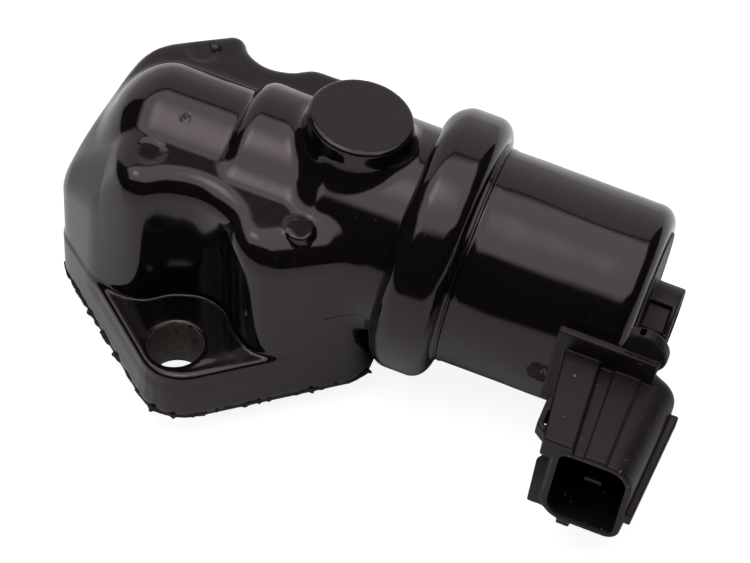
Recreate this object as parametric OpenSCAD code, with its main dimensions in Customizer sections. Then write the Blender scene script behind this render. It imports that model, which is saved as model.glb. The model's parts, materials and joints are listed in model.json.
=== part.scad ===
// Idle air control valve: a die-cast two-port body with a crimped-on solenoid and a side connector.
// The mounting face is the plane z = 0 and the origin lies midway between the two bolt holes.
// +X is the plan direction of the solenoid, and the connector points to -Y.

/* [Mounting flange] */
// Distance between the two bolt holes
bolt_spacing = 54; // [50:0.5:58]
// Diameter of the bolt holes
bolt_hole_d = 9; // [6.6:0.1:9.6]
// Radius of the flange corners round the bolt holes
pad_r = 8; // [7:0.1:9]
// Radius of the other flange corners
flange_corner_r = 6; // [5.5:0.1:7]
// Flange edge on the solenoid side, from the origin
flange_right = 28.5; // [27:0.1:29]
// Flange edge on the dome side, from the origin
flange_left = 26.5; // [25.5:0.1:28]
// Height of the bolt pads above the mounting face
pad_top_z = 9.2; // [8:0.1:11]
// Depth of the scallops that clear the bolt heads, from the bolt holes
scallop_r = 10.8; // [10:0.1:11.2]
// Size of the far scallop as a share of the near one
far_scallop_share = 0.84; // [0.8:0.01:1]
// Gasket thickness
gasket_t = 0.8; // [0.5:0.1:1.5]
// How far the gasket stands out past the flange
gasket_lip = 0.35; // [0.1:0.05:0.6]
// Plan angle of the long flange edges
long_edge_angle = 35; // [33:0.5:37]
// Plan angle of the short flange edges
short_edge_angle = 45; // [43:0.5:47]

/* [Casting block] */
// Height of the near block's top edge at its three corners: the bolt corner, right and left
near_top = [32.5, 31, 20.5]; // [20:0.5:34]
// Height of the far tier's top edge at the six corners, from the bolt corner on the connector side
tier_top = [27, 24, 25, 30, 29, 21]; // [18:0.5:31]
// Radius of the rounded top edges on the connector side
block_edge_r = 4.5; // [3:0.1:5]
// Radius of the rounded top edges of the far tier
tier_edge_r = 3; // [2:0.1:4]
// Inward lean of the block's walls for each unit of height
wall_lean = 0.06; // [0.03:0.01:0.08]
// Height of the far tier above the bore axis
tier_rise = 4.6; // [3.5:0.1:5.5]
// Height of the flat deck above the bore axis
deck_rise = 10.6; // [9:0.1:11.5]
// Near edge of the flat deck, from the bore axis
deck_near = 13; // [11:0.1:14]
// Reach of the flat deck past the dome's centre
deck_past_dome = 4; // [3:0.1:5]
// Far edge of the tier, from the bore axis
tier_far = 14; // [12:0.1:15]

/* [Bore axis] */
// Downward tilt of the bore axis towards the solenoid
axis_tilt = 9; // [7:0.5:10]
// Place of the crimped joint along X
joint_x = 36.1; // [35.5:0.1:38]
// Height of the crimped joint's centre
joint_z = 18.6; // [18:0.1:22]

/* [Casting humps] */
// Radius of the casting's neck beside the solenoid
neck_r = 17.2; // [16.5:0.1:17.4]
// Radius of the hump over the outlet chamber
outlet_hump_r = 14.9; // [14:0.1:16]
// Radius of the domed hump over the inlet chamber
inlet_hump_r = 12.5; // [12:0.1:13.5]
// Distance from the joint to the end of the neck
neck_end = 22; // [20:0.5:24]
// Distance from the joint to the step between the humps
step_end = 36.4; // [36:0.1:37]
// Distance from the joint to the centre of the dome
dome_end = 49; // [48:0.5:50]
// Radius of the round boss on top
boss_r = 8.9; // [8:0.1:9.5]
// Distance from the joint to the boss
boss_at = 17.8; // [17:0.1:18.5]
// Height of the boss above the bore axis
boss_top = 23.4; // [21:0.1:25]
// Bevel at the edge of the boss
boss_bevel = 0.8; // [0.4:0.1:1.2]
// Diameter of the round ejector marks
mark_d = 4.8; // [4:0.1:6]
// Height or depth of the ejector marks
mark_step = 0.3; // [0.2:0.05:0.5]

/* [Air passages] */
// Width of the two ports along X
port_w = 10; // [8:0.5:11]
// Length of the two ports along Y
port_l = 17; // [14:0.5:18]
// Distance of each port from the origin
port_x = 13; // [12.5:0.1:13.5]
// Radius of the inlet chamber
inlet_r = 9.3; // [9:0.1:9.6]
// Radius of the outlet chamber
outlet_r = 11.5; // [10.5:0.1:11.8]
// Radius of the hole in the partition that takes the seat ring
seat_hole_r = 8.7; // [8.4:0.1:8.8]
// Thickness of the partition
partition_t = 3; // [2.5:0.1:4]

/* [Valve] */
// Inner radius of the seat ring
seat_bore_r = 6; // [5:0.1:6.2]
// Height of the seat ring's lip
seat_lip = 0.5; // [0.3:0.1:0.6]
// Radius of the poppet
poppet_r = 7.6; // [7.2:0.1:8]
// Thickness of the poppet's disc
poppet_t = 2.4; // [2:0.1:3]
// Thickness of the rubber face
face_t = 1; // [0.8:0.1:1.4]
// Travel of the poppet
travel = 4; // [3:0.1:4.2]
// Radius of the plunger rod
rod_r = 1.5; // [1.2:0.1:1.7]
// Wire diameter of the return spring
spring_wire_d = 0.8; // [0.6:0.05:0.9]
// Mean radius of the return spring
spring_r = 4.6; // [4.4:0.1:4.8]
// Turns of the return spring
spring_turns = 6; // [5:0.5:7]
// Radius of the spring pocket in the dome
pocket_r = 5.4; // [5.3:0.1:6]
// Wall left behind the spring pocket
pocket_wall = 3; // [2.6:0.1:3.4]

/* [Solenoid] */
// Outer radius of the solenoid can
can_r = 18; // [17.9:0.1:18.3]
// Wall of the solenoid can
can_wall = 1.2; // [0.9:0.1:1.3]
// Distance from the joint to the can's far end
can_end = 34.1; // [34.1:0.1:36]
// Outer corner radius of the can's far end
can_corner_r = 4; // [3.5:0.1:4.2]
// Outer radius of the folded ring
ring_r = 22.1; // [21.9:0.1:22.4]
// Radius of the fold on the casting side
fold_casting_r = 4; // [3.7:0.1:4.1]
// Radius of the fold on the can side
fold_can_r = 3; // [2.8:0.1:3.1]
// Half of the flat between the folds
fold_flat = 1.75; // [1.5:0.05:1.9]
// Width of the rim round the opening in the can's far end
can_lip = 3.6; // [3.4:0.1:4.4]
// Thickness of the steel plate on the casting side
front_plate_t = 3; // [2.4:0.1:3.4]
// Thickness of the steel plate on the connector side
rear_plate_t = 2.4; // [2:0.1:2.8]
// Radius of the moving armature
armature_r = 5.65; // [5:0.05:5.8]
// Length of the moving armature's full-size part
armature_l = 11; // [9:0.5:11]
// Wall of the guide sleeve
sleeve_wall = 0.3; // [0.2:0.05:0.4]
// Room between the coil winding and the can
winding_room = 1.8; // [1.4:0.1:3.6]
// Wall of the coil bobbin
bobbin_wall = 1; // [0.8:0.1:1.2]
// Length of the pole piece past the casting's face
pole_l = 10.5; // [9:0.1:11]
// Length of the conical nose on the armature
nose_l = 3; // [2:0.1:3.2]

/* [Connector] */
// Centre of the connector along the bore axis, from the joint
plug_at = 36.7; // [36.3:0.1:37.5]
// Width of the connector shell
plug_w = 12.6; // [12:0.1:13.4]
// Height of the connector shell
plug_h = 17.2; // [16:0.1:18]
// Distance of the connector's mouth from the bore axis
plug_mouth = 39.4; // [38:0.1:42]
// Wall of the connector shell
plug_wall = 1.1; // [0.9:0.05:1.4]
// Distance of the socket's floor from the bore axis
plug_floor = 24; // [23.5:0.1:25]
// Thickness of the collar plate
collar_t = 2.2; // [1.6:0.1:2.6]
// Height of the collar plate above the bore axis
collar_top = 13.4; // [12:0.1:14]
// Width of the terminal blades
blade_w = 2.8; // [2:0.1:3]
// Thickness of the terminal blades
blade_t = 0.8; // [0.6:0.05:1]
// Half the distance between the terminal blades
blade_half = 2.7; // [2.3:0.1:3]
// Distance of the blade tips from the bore axis
blade_tip = 32.5; // [30:0.1:33]
// Outer radius of the vent stub
stub_r = 5.9; // [5.4:0.1:6.2]
// Inner radius of the vent stub
stub_bore_r = 4.3; // [4:0.1:4.5]
// Length of the vent stub past the can
stub_l = 6.2; // [5.8:0.1:7]
// Height of the raised rail on the connector
rail_h = 1.3; // [0.8:0.1:1.6]
// Width of the raised rail
rail_w = 5; // [4:0.1:6]
// Width of the low rib beside the rail
rib_w = 3.6; // [3:0.1:4.4]
// Reach of the fin on the right side
fin_out = 1.8; // [1.4:0.1:2.4]
// Thickness of the fin on the right side
fin_t = 1.2; // [0.8:0.1:1.6]
// Width of the hook at the edge of that fin
hook_w = 2.6; // [2:0.1:3.2]
// Length of the fin low on the left side
left_fin_l = 9; // [7:0.5:11]
// Length of the small key under the mouth
key_l = 3; // [2:0.1:4]
// Radius of the round bump on the collar
lens_r = 6.8; // [6:0.1:7.2]
// Drop of the bump's centre below the collar's top edge
lens_drop = 5.4; // [5:0.1:6]
// Distance of the bridge's root from the bore axis
bridge_root = 10; // [9:0.1:11]
// Thickness of the bridge that leads out of the can
bridge_t = 5.6; // [5:0.1:6]
// Length of the collar plate along the can
collar_l = 15.4; // [14:0.1:16]
// Width of the web beside the vent stub
web_w = 6; // [5:0.1:7]

/* [Fits] */
// Gap between pieces that are pressed or clamped together
seat_gap = 0.1; // [0.05:0.01:0.12]
// Radial gap of the sliding fits
slide_gap = 0.06; // [0.03:0.01:0.09]

/* [Hidden] */
$fn = 64;
eps = 0.01;
block_fn = 24;

// Plan outline of the flange: tangents to a circle round each bolt hole, cut off at both sides
bolt_y = bolt_spacing / 2;
long_normal = long_edge_angle - 90;
short_normal = -short_edge_angle - 90;
tip_reach = pad_r / cos((long_normal - short_normal) / 2);
tip_angle = (long_normal + short_normal) / 2;
tip = [tip_reach * cos(tip_angle), -bolt_y + tip_reach * sin(tip_angle)];
near_right = [flange_right, tip[1] + (flange_right - tip[0]) * tan(long_edge_angle)];
near_left = [-flange_left, tip[1] + (tip[0] + flange_left) * tan(short_edge_angle)];
far_right = [flange_right, -tip[1] - (flange_right + tip[0]) * tan(short_edge_angle)];
far_left = [-flange_left, -tip[1] - (flange_left - tip[0]) * tan(long_edge_angle)];
corners = [tip, near_right, far_right, -tip, far_left, near_left];
corner_r = [pad_r, flange_corner_r, flange_corner_r, pad_r, flange_corner_r, flange_corner_r];

// Places along the bore axis, measured from the crimped joint
fold_can_at = fold_flat;
fold_casting_at = -fold_flat;
casting_face = fold_can_at + fold_can_r - can_wall - seat_gap;
front_plate_at = casting_face + seat_gap;
bobbin_at = front_plate_at + front_plate_t + seat_gap;
can_inner_r = can_r - can_wall;
winding_r = can_inner_r - winding_room;
can_inner_end = can_end - can_wall;
can_mouth_r = can_r - can_lip;
cap_disc_t = 1.8;
cap_disc_at = can_inner_end - seat_gap - cap_disc_t;
rear_plate_at = cap_disc_at - seat_gap - rear_plate_t;
bobbin_end = rear_plate_at - seat_gap;
flange_t = 1.2;
sleeve_bore_r = armature_r + slide_gap;
sleeve_r = sleeve_bore_r + sleeve_wall;
bobbin_bore_r = sleeve_r + 0.04;
armature_end = cap_disc_at - 1.4;
armature_at = armature_end - armature_l;
pole_end = casting_face + pole_l;
shoulder_t = 2.5;
guide_end = casting_face - shoulder_t - seat_gap;
guide_r = outlet_r + 0.7;
guide_l = 12;
guide_at = guide_end - guide_l;
bush_r = rod_r + slide_gap + 1.6;
seal_r = 14.4;
seal_d = 1.6;
crimp_space = 1.2;
crimp_at = fold_casting_at - fold_casting_r - 0.5;

// Where the room for the crimping tool reaches the gasket
relief_rise = (gasket_t - joint_z + crimp_at * sin(axis_tilt)) / cos(axis_tilt);
relief_x = joint_x + crimp_at * cos(axis_tilt) + relief_rise * sin(axis_tilt) - gasket_t;
relief_half = sqrt(max(1, pow(ring_r + crimp_space, 2) - pow(relief_rise, 2)));

// The seat, the poppet and the spring, from the step between the humps towards the dome
partition_left = -step_end - 0.6;
partition_right = partition_left + partition_t;
seat_plane = partition_left - seat_lip;
face_right = seat_plane - seat_gap;
face_left = face_right - face_t;
poppet_left = face_left - poppet_t - seat_gap / 2;
hub_l = 2.6;
hub_r = 3.2;
hub_left = poppet_left - hub_l;
nut_t = 1.8;
nut_r = 2.9;
rod_left = hub_left - nut_t - 0.7;
rod_right = armature_end + 0.5;
pocket_left = -dome_end - inlet_hump_r + pocket_wall;
spring_left = pocket_left + seat_gap;
spring_right = poppet_left - seat_gap;

bridge_inset = 0.8;
notch_room = 0.3;
collar_left = 13;
lens_root = 13;
lens_out = 1.2;
web_t = 3.6;
cap_seal_r = 8.4;
cap_seal_d = 1.1;
bush_l = 8;
disc_rim_l = 4;
post_r = 0.5;
blade_root = 3;
filter_out = 2.8;
collar_at = can_r + seat_gap;
collar_end = collar_at + collar_t;
plug_left = plug_at - plug_w / 2;
plug_right = plug_at + plug_w / 2;
boss_face = can_end + 0.3;
terminal_at = cap_disc_at + 0.9;
post_u = bridge_root + 0.5;
rail_past = 2.4;
sink = 0.2;

// The bore frame: x is up, y points to the connector's side and z runs along the axis to the solenoid
module on_axis() {
    translate([joint_x, 0, joint_z]) rotate([0, 90 + axis_tilt, 0]) rotate([0, 0, 180]) children();
}

// The connector frame inside the bore frame: x along the bore, y up and z out to the mouth
module along_plug() {
    rotate(a = -120, v = [1, 1, 1]) children();
}

module ring(r_out, r_in, from, to) {
    translate([0, 0, from]) difference() {
        cylinder(r = r_out, h = to - from);
        translate([0, 0, -1]) cylinder(r = r_in, h = to - from + 2);
    }
}

module rod(r, from, to) {
    translate([0, 0, from]) cylinder(r = r, h = to - from);
}

function unit(v) = v / norm(v);
function turn(v) = [-v[1], v[0]];

// A convex outline with true arcs at its corners, in counterclockwise order
module rounded_outline(points, radii) {
    n = len(points);
    back = [for (i = [0:n - 1]) unit(points[(i + n - 1) % n] - points[i])];
    ahead = [for (i = [0:n - 1]) unit(points[(i + 1) % n] - points[i])];
    half = [for (i = [0:n - 1]) acos(back[i] * ahead[i]) / 2];
    polygon([for (i = [0:n - 1], side = [0, 1])
        points[i] + (side == 0 ? back[i] : ahead[i]) * radii[i] / tan(half[i])]);
    for (i = [0:n - 1])
        translate(points[i] + unit(back[i] + ahead[i]) * radii[i] / sin(half[i])) circle(r = radii[i]);
}

function corner_centre(i) =
    let (n = len(corners))
    let (back = unit(corners[(i + n - 1) % n] - corners[i]))
    let (ahead = unit(corners[(i + 1) % n] - corners[i]))
    corners[i] + unit(back + ahead) * corner_r[i] / sin(acos(back * ahead) / 2);

module flange_outline() {
    rounded_outline(corners, corner_r);
}

module at_bolts() {
    for (side = [-1, 1]) translate([0, side * bolt_y, 0]) children();
}

// One corner of the block, rounded over at its top edge
module block_corner(i, top, edge_r) {
    c = corner_centre(i);
    leaned = c * (1 - wall_lean * top / norm(c));
    translate([c[0], c[1], gasket_t]) cylinder(r = corner_r[i], h = 1, $fn = block_fn);
    for (a = [0:22.5:90])
        translate([leaned[0], leaned[1], top - edge_r * (1 - sin(a))])
            cylinder(r = corner_r[i] - edge_r * (1 - cos(a)), h = eps, $fn = block_fn);
}

// A flat of the block's top in the bore frame: a row of balls that the hull runs over
module deck_line(rise, reach, edge_r, places) {
    on_axis() for (s = places)
        translate([rise - edge_r, reach, s]) sphere(r = edge_r, $fn = block_fn);
}

// The wide part over the flange: a flat deck beside the humps, and a lower tier behind them
module casting_block() {
    hull() {
        for (k = [0:2]) block_corner([0, 1, 5][k], near_top[k], block_edge_r);
        for (reach = [0, deck_near - block_edge_r])
            deck_line(deck_rise, reach, block_edge_r, [-dome_end - deck_past_dome, -neck_end - block_edge_r]);
    }
    hull() {
        for (i = [0:5]) block_corner(i, tier_top[i], tier_edge_r);
        deck_line(tier_rise, -tier_far, tier_edge_r, [-dome_end, -neck_end]);
    }
}

// The wall round a bolt head: a smooth curve through named places, measured from the bolt hole
scallop_wall = [[-25, 5.6], [-14.8, 6.7], [-8.6, 7.1], [-4.2, 9.8], [0.8, scallop_r], [5.4, 9], [8.7, 5],
    [14.4, 1.3], [25, -2]];
scallop_edge = [[25, -21], [-25, -21]];

function curve_point(a, b, c, d, t) =
    (2 * b + (c - a) * t + (2 * a - 5 * b + 4 * c - d) * t * t + (3 * b - a - 3 * c + d) * t * t * t) / 2;

function curve(points, steps) =
    let (n = len(points))
    [for (i = [0:n - 2], k = [0:steps - 1])
        curve_point(points[max(i - 1, 0)], points[i], points[i + 1], points[min(i + 2, n - 1)], k / steps)];

module scallop(share) {
    translate([0, -bolt_y, pad_top_z]) linear_extrude(height = 40)
        polygon([for (p = concat(curve(scallop_wall, 4), scallop_edge)) p * share]);
}

module scallops() {
    scallop(1);
    rotate([0, 0, 180]) scallop(far_scallop_share);
}

module humps() {
    on_axis() {
        rod(neck_r, -neck_end, casting_face - 1.2);
        rod(outlet_hump_r, -step_end, -neck_end + 1);
        rod(inlet_hump_r, -dome_end, -step_end + 1);
        translate([0, 0, -dome_end]) sphere(r = inlet_hump_r);
    }
}

module boss() {
    on_axis() translate([0, 0, -boss_at]) rotate([0, 90, 0]) {
        cylinder(r = boss_r, h = boss_top - boss_bevel);
        translate([0, 0, boss_top - boss_bevel - eps])
            cylinder(r1 = boss_r, r2 = boss_r - boss_bevel, h = boss_bevel);
        translate([0, 0, neck_r - 3.4]) cylinder(r1 = boss_r + 3, r2 = boss_r, h = 4);
    }
}

// Section of the folded ring's inside, which the casting's own flange fills
module fold_section(inset) {
    translate([ring_r - fold_can_r, fold_can_at]) circle(r = fold_can_r - inset);
    translate([ring_r - fold_casting_r, fold_casting_at]) circle(r = fold_casting_r - inset);
    translate([ring_r - fold_casting_r, fold_casting_at]) square([fold_casting_r - inset, 2 * fold_flat]);
    translate([can_r - 3, fold_casting_at - fold_casting_r + inset])
        square([ring_r - fold_casting_r - can_r + 3, fold_casting_r - 2 * inset + 2 * fold_flat + fold_can_r]);
}

module casting_rim() {
    on_axis() rotate_extrude() intersection() {
        union() {
            fold_section(can_wall + seat_gap);
            translate([guide_r - 1, fold_casting_at - fold_casting_r])
                square([neck_r - guide_r + 1, casting_face - fold_casting_at + fold_casting_r]);
        }
        translate([0, -20]) square([ring_r, 20 + casting_face]);
    }
}

// Room for the crimping tool between the ring and the block
module crimp_room() {
    on_axis() difference() {
        rod(ring_r + crimp_space, crimp_at, 20);
        rod(neck_r, -20, 21);
    }
}

module port_slot(x, from, to) {
    reach = (port_l - port_w) / 2;
    translate([x, 0, from]) {
        for (side = [-1, 1]) translate([0, side * reach, 0]) cylinder(d = port_w, h = to - from);
        translate([-port_w / 2, -reach, 0]) cube([port_w, 2 * reach, to - from]);
    }
}

module passages() {
    port_slot(-port_x, -1, joint_z + 4);
    port_slot(port_x, -1, joint_z - 4);
    on_axis() {
        rod(inlet_r, -dome_end, partition_left);
        translate([0, 0, -dome_end]) sphere(r = inlet_r);
        rod(pocket_r, pocket_left, -dome_end);
        rod(seat_hole_r, partition_left - 1, partition_right + 1);
        rod(outlet_r, partition_right, guide_at + 1);
        rod(guide_r, guide_at, casting_face + 1);
        ring(seal_r + seal_d / 2, seal_r - seal_d / 2, casting_face - seal_d + 0.3, casting_face + 1);
    }
}

module mark_at(rise, reach, s, h) {
    on_axis() translate([rise, reach, s]) rotate([0, 90, 0]) cylinder(d = mark_d, h = h);
}

// The two sunk marks
module ejector_marks() {
    mark_at(deck_rise - mark_step, deck_near - 2.2, -dome_end - 0.5, 5);
    mark_at(tier_rise - mark_step, -tier_far - 4.2, -dome_end + 5.5, 5);
}

module valve_body() {
    color([0.03, 0.03, 0.03]) difference() {
        union() {
            difference() {
                union() {
                    difference() {
                        union() {
                            casting_block();
                            humps();
                            boss();
                            // The proud mark on the deck's right end
                            mark_at(0, deck_near + 3.1, -neck_end + 0.6, deck_rise + mark_step - 0.2);
                        }
                        scallops();
                    }
                    translate([0, 0, gasket_t]) linear_extrude(height = pad_top_z - gasket_t) flange_outline();
                }
                crimp_room();
            }
            casting_rim();
        }
        at_bolts() translate([0, 0, -1]) cylinder(d = bolt_hole_d, h = 30);
        passages();
        ejector_marks();
    }
}

module mounting_gasket() {
    color([0.12, 0.11, 0.1]) linear_extrude(height = gasket_t) difference() {
        rounded_outline([for (p = corners) p + unit(p) * gasket_lip], corner_r);
        for (side = [-1, 1]) translate([0, side * bolt_y]) circle(d = bolt_hole_d + 0.8);
        for (x = [-port_x, port_x]) {
            for (side = [-1, 1]) translate([x, side * (port_l - port_w) / 2]) circle(d = port_w + 0.6);
            translate([x, 0]) square([port_w + 0.6, port_l - port_w], center = true);
        }
        translate([relief_x, -relief_half]) square([20, 2 * relief_half]);
    }
}

module seat_ring() {
    color([0.72, 0.58, 0.3]) on_axis() difference() {
        union() {
            rod(seat_hole_r - 0.02, partition_left, partition_right);
            rod(seat_bore_r + 0.9, seat_plane, partition_right);
        }
        rod(seat_bore_r, seat_plane - 1, partition_right + 1);
    }
}

module poppet() {
    color([0.6, 0.61, 0.62]) on_axis() difference() {
        union() {
            rod(poppet_r, poppet_left, face_left - seat_gap / 2);
            rod(hub_r, hub_left, poppet_left + 1);
        }
        rod(rod_r + 0.02, hub_left - 1, face_left + 1);
    }
}

module poppet_face() {
    color([0.05, 0.05, 0.05]) on_axis() ring(poppet_r - 0.2, rod_r + 0.3, face_left, face_right);
}

module rod_nut() {
    color([0.7, 0.7, 0.7]) on_axis() difference() {
        translate([0, 0, hub_left - nut_t - 0.05]) cylinder(r = nut_r, h = nut_t, $fn = 6);
        rod(rod_r + 0.02, hub_left - nut_t - 1, hub_left + 1);
    }
}

module plunger_rod() {
    color([0.75, 0.75, 0.77]) on_axis() rod(rod_r, rod_left, rod_right);
}

// A round wire bent along a helix, with its rings joined by quads
module return_spring() {
    sides = 8;
    steps = 14 * spring_turns;
    length = spring_right - spring_left - spring_wire_d;
    ring_at = function (i) [for (k = [0:sides - 1])
        let (a = 360 * spring_turns * i / steps)
        let (c = 360 * k / sides)
        let (r = spring_r - spring_wire_d / 2 * cos(c))
        [r * cos(a), r * sin(a), spring_left + (length * i / steps) + spring_wire_d / 2 * (1 + sin(c))]];
    color([0.66, 0.67, 0.7]) on_axis() polyhedron(
        points = [for (i = [0:steps]) each ring_at(i)],
        faces = concat(
            [[for (k = [sides - 1:-1:0]) k]],
            [for (i = [0:steps - 1], k = [0:sides - 1])
                [i * sides + k, i * sides + (k + 1) % sides, (i + 1) * sides + (k + 1) % sides, (i + 1) * sides + k]],
            [[for (k = [0:sides - 1]) steps * sides + k]]
        )
    );
}

module front_guide() {
    color([0.7, 0.71, 0.73]) on_axis() difference() {
        union() {
            rod(guide_r - 0.05, guide_at + seat_gap, guide_at + disc_rim_l);
            rod(bush_r + 1.8, guide_at + seat_gap, guide_end);
            rod(guide_r - 0.05, guide_end - disc_rim_l / 2, guide_end);
        }
        rod(bush_r + 0.02, guide_at - 1, guide_end + 1);
    }
}

module front_bush() {
    color([0.65, 0.5, 0.28]) on_axis() ring(bush_r, rod_r + slide_gap, guide_at + 0.6, guide_at + bush_l);
}

module body_seal() {
    color([0.06, 0.06, 0.06]) on_axis() translate([0, 0, casting_face - seal_d / 2 + 0.2])
        rotate_extrude() translate([seal_r, 0]) circle(d = seal_d - 0.3);
}

module front_plate() {
    color([0.55, 0.55, 0.56]) on_axis()
        ring(can_inner_r - seat_gap, armature_r + 0.06, front_plate_at, front_plate_at + front_plate_t);
}

module pole_piece() {
    color([0.6, 0.6, 0.62]) on_axis() difference() {
        union() {
            rod(guide_r - 0.05, casting_face - shoulder_t, casting_face);
            rod(armature_r, casting_face - 1, pole_end);
        }
        rod(rod_r + 0.4, casting_face - shoulder_t - 1, pole_end + 1);
        translate([0, 0, pole_end - nose_l]) cylinder(r1 = 3.1, r2 = 3.1 + nose_l * 0.6, h = nose_l + eps);
    }
}

module guide_sleeve() {
    color([0.78, 0.7, 0.5]) on_axis() ring(sleeve_r, sleeve_bore_r, bobbin_at, cap_disc_at - seat_gap);
}

module armature() {
    color([0.5, 0.5, 0.52]) on_axis() difference() {
        union() {
            rod(armature_r, armature_at, armature_end);
            translate([0, 0, armature_at - nose_l + 0.3])
                cylinder(r1 = 2.7, r2 = 2.7 + (nose_l - 0.3) * 0.6, h = nose_l);
        }
        rod(rod_r + 0.02, armature_at - nose_l - 1, armature_end + 1);
    }
}

module coil_bobbin() {
    color([0.12, 0.12, 0.13]) on_axis() difference() {
        union() {
            ring(bobbin_bore_r + bobbin_wall, bobbin_bore_r, bobbin_at, bobbin_end);
            ring(winding_r + 0.7, bobbin_bore_r, bobbin_at, bobbin_at + flange_t);
            ring(winding_r + 0.7, bobbin_bore_r, bobbin_end - flange_t, bobbin_end);
        }
        terminal_posts(0.05);
    }
}

module coil_winding() {
    color([0.62, 0.3, 0.14]) on_axis() ring(winding_r, bobbin_bore_r + bobbin_wall + 0.05,
        bobbin_at + flange_t + 0.05, bobbin_end - flange_t - 0.05);
}

module rear_plate() {
    corner_depth = can_inner_r - seat_gap - 0.2;
    color([0.55, 0.55, 0.56]) on_axis() difference() {
        ring(corner_depth, bobbin_bore_r, rear_plate_at, rear_plate_at + rear_plate_t);
        terminal_posts(0.5);
    }
}

module cap_seal() {
    color([0.06, 0.06, 0.06]) on_axis() translate([0, 0, cap_disc_at + cap_seal_d / 2])
        rotate_extrude() translate([cap_seal_r, 0]) circle(d = cap_seal_d);
}

// Section of the can with its rounded far corner, grown inwards by an inset
module can_section(inset, from) {
    r = can_corner_r - inset;
    translate([can_r - can_corner_r, can_end - can_corner_r]) circle(r = r);
    translate([0, from]) square([can_r - can_corner_r, can_end - inset - from]);
    translate([0, from]) square([can_r - inset, can_end - can_corner_r - from]);
}

module solenoid_can() {
    color([0.03, 0.03, 0.03]) on_axis() difference() {
        rotate_extrude() difference() {
            union() {
                can_section(0, 0);
                fold_section(0);
            }
            can_section(can_wall, -12);
            fold_section(can_wall);
            translate([0, -20]) square([neck_r + seat_gap, 20]);
            translate([0, can_end - 10]) square([can_mouth_r, 20]);
        }
        // The notch that lets the connector out
        translate([-plug_h / 2 + bridge_inset - notch_room, bridge_root - 1, cap_disc_at - seat_gap])
            cube([plug_h - 2 * (bridge_inset - notch_room), can_r, 10]);
    }
}

module shell_outline(inset) {
    w = plug_w / 2 - inset;
    h = plug_h / 2 - inset;
    small = 2.4 - inset;
    large = 4.4 - inset;
    translate([plug_at, 0])
        rounded_outline([[-w, -h], [w, -h], [w, h], [-w, h]], [large, small, large, small]);
}

// Rails, ribs and fins that key the connector
module plug_keys() {
    run_l = plug_mouth - collar_end;
    fin_from = 3.5;
    fin_rise = 4.8;
    along_plug() {
        // The broad rail on the upper left edge
        translate([plug_left - rail_past, plug_h / 2 - 3, collar_end - sink])
            cube([rail_w, 3 + rail_h, run_l + sink]);
        // The low rib in the middle
        translate([plug_at + 2 - rib_w, plug_h / 2 - 0.5, collar_end - sink]) cube([rib_w, 1, run_l + sink]);
        // The fin along the right side
        translate([plug_right - 0.5, fin_rise - fin_t, collar_end + fin_from])
            cube([fin_out + 0.5, fin_t, run_l - fin_from]);
        translate([plug_right + fin_out - 1, fin_rise - hook_w, collar_end + fin_from])
            cube([1, hook_w, run_l - fin_from]);
        // The fin low on the left side
        translate([0, 0, plug_mouth - left_fin_l]) linear_extrude(height = left_fin_l)
            polygon([[plug_left + 0.4, -1], [plug_left + 0.4, -7], [plug_left - 2.2, -7]]);
        // The small key under the mouth
        translate([plug_at - 3.2, -plug_h / 2 - 1.1, plug_mouth - key_l]) cube([2.2, 1.6, key_l]);
    }
}

module terminal_posts(grow) {
    for (side = [-1, 1])
        translate([side * blade_half, post_u, bobbin_end - flange_t]) 
            cylinder(r = post_r + grow, h = terminal_at - bobbin_end + flange_t);
}

module terminal(side, grow) {
    half_t = blade_t / 2 + grow;
    on_b = side * blade_half;
    translate([on_b - half_t, plug_floor - blade_root - grow, plug_at - blade_w / 2 - grow])
        cube([2 * half_t, blade_tip - plug_floor + blade_root + grow, blade_w + 2 * grow]);
    translate([on_b - half_t, plug_floor - blade_root - grow, terminal_at - grow])
        cube([2 * half_t, blade_t + 2 * grow, plug_at - terminal_at + 2 * grow]);
    translate([on_b - half_t, post_u - blade_t - grow, terminal_at - grow])
        cube([2 * half_t, plug_floor - blade_root - post_u + 2 * blade_t + 2 * grow, blade_t + 2 * grow]);
    translate([on_b, post_u, bobbin_end - flange_t])
        cylinder(r = post_r + grow, h = terminal_at - bobbin_end + flange_t + grow);
}

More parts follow.
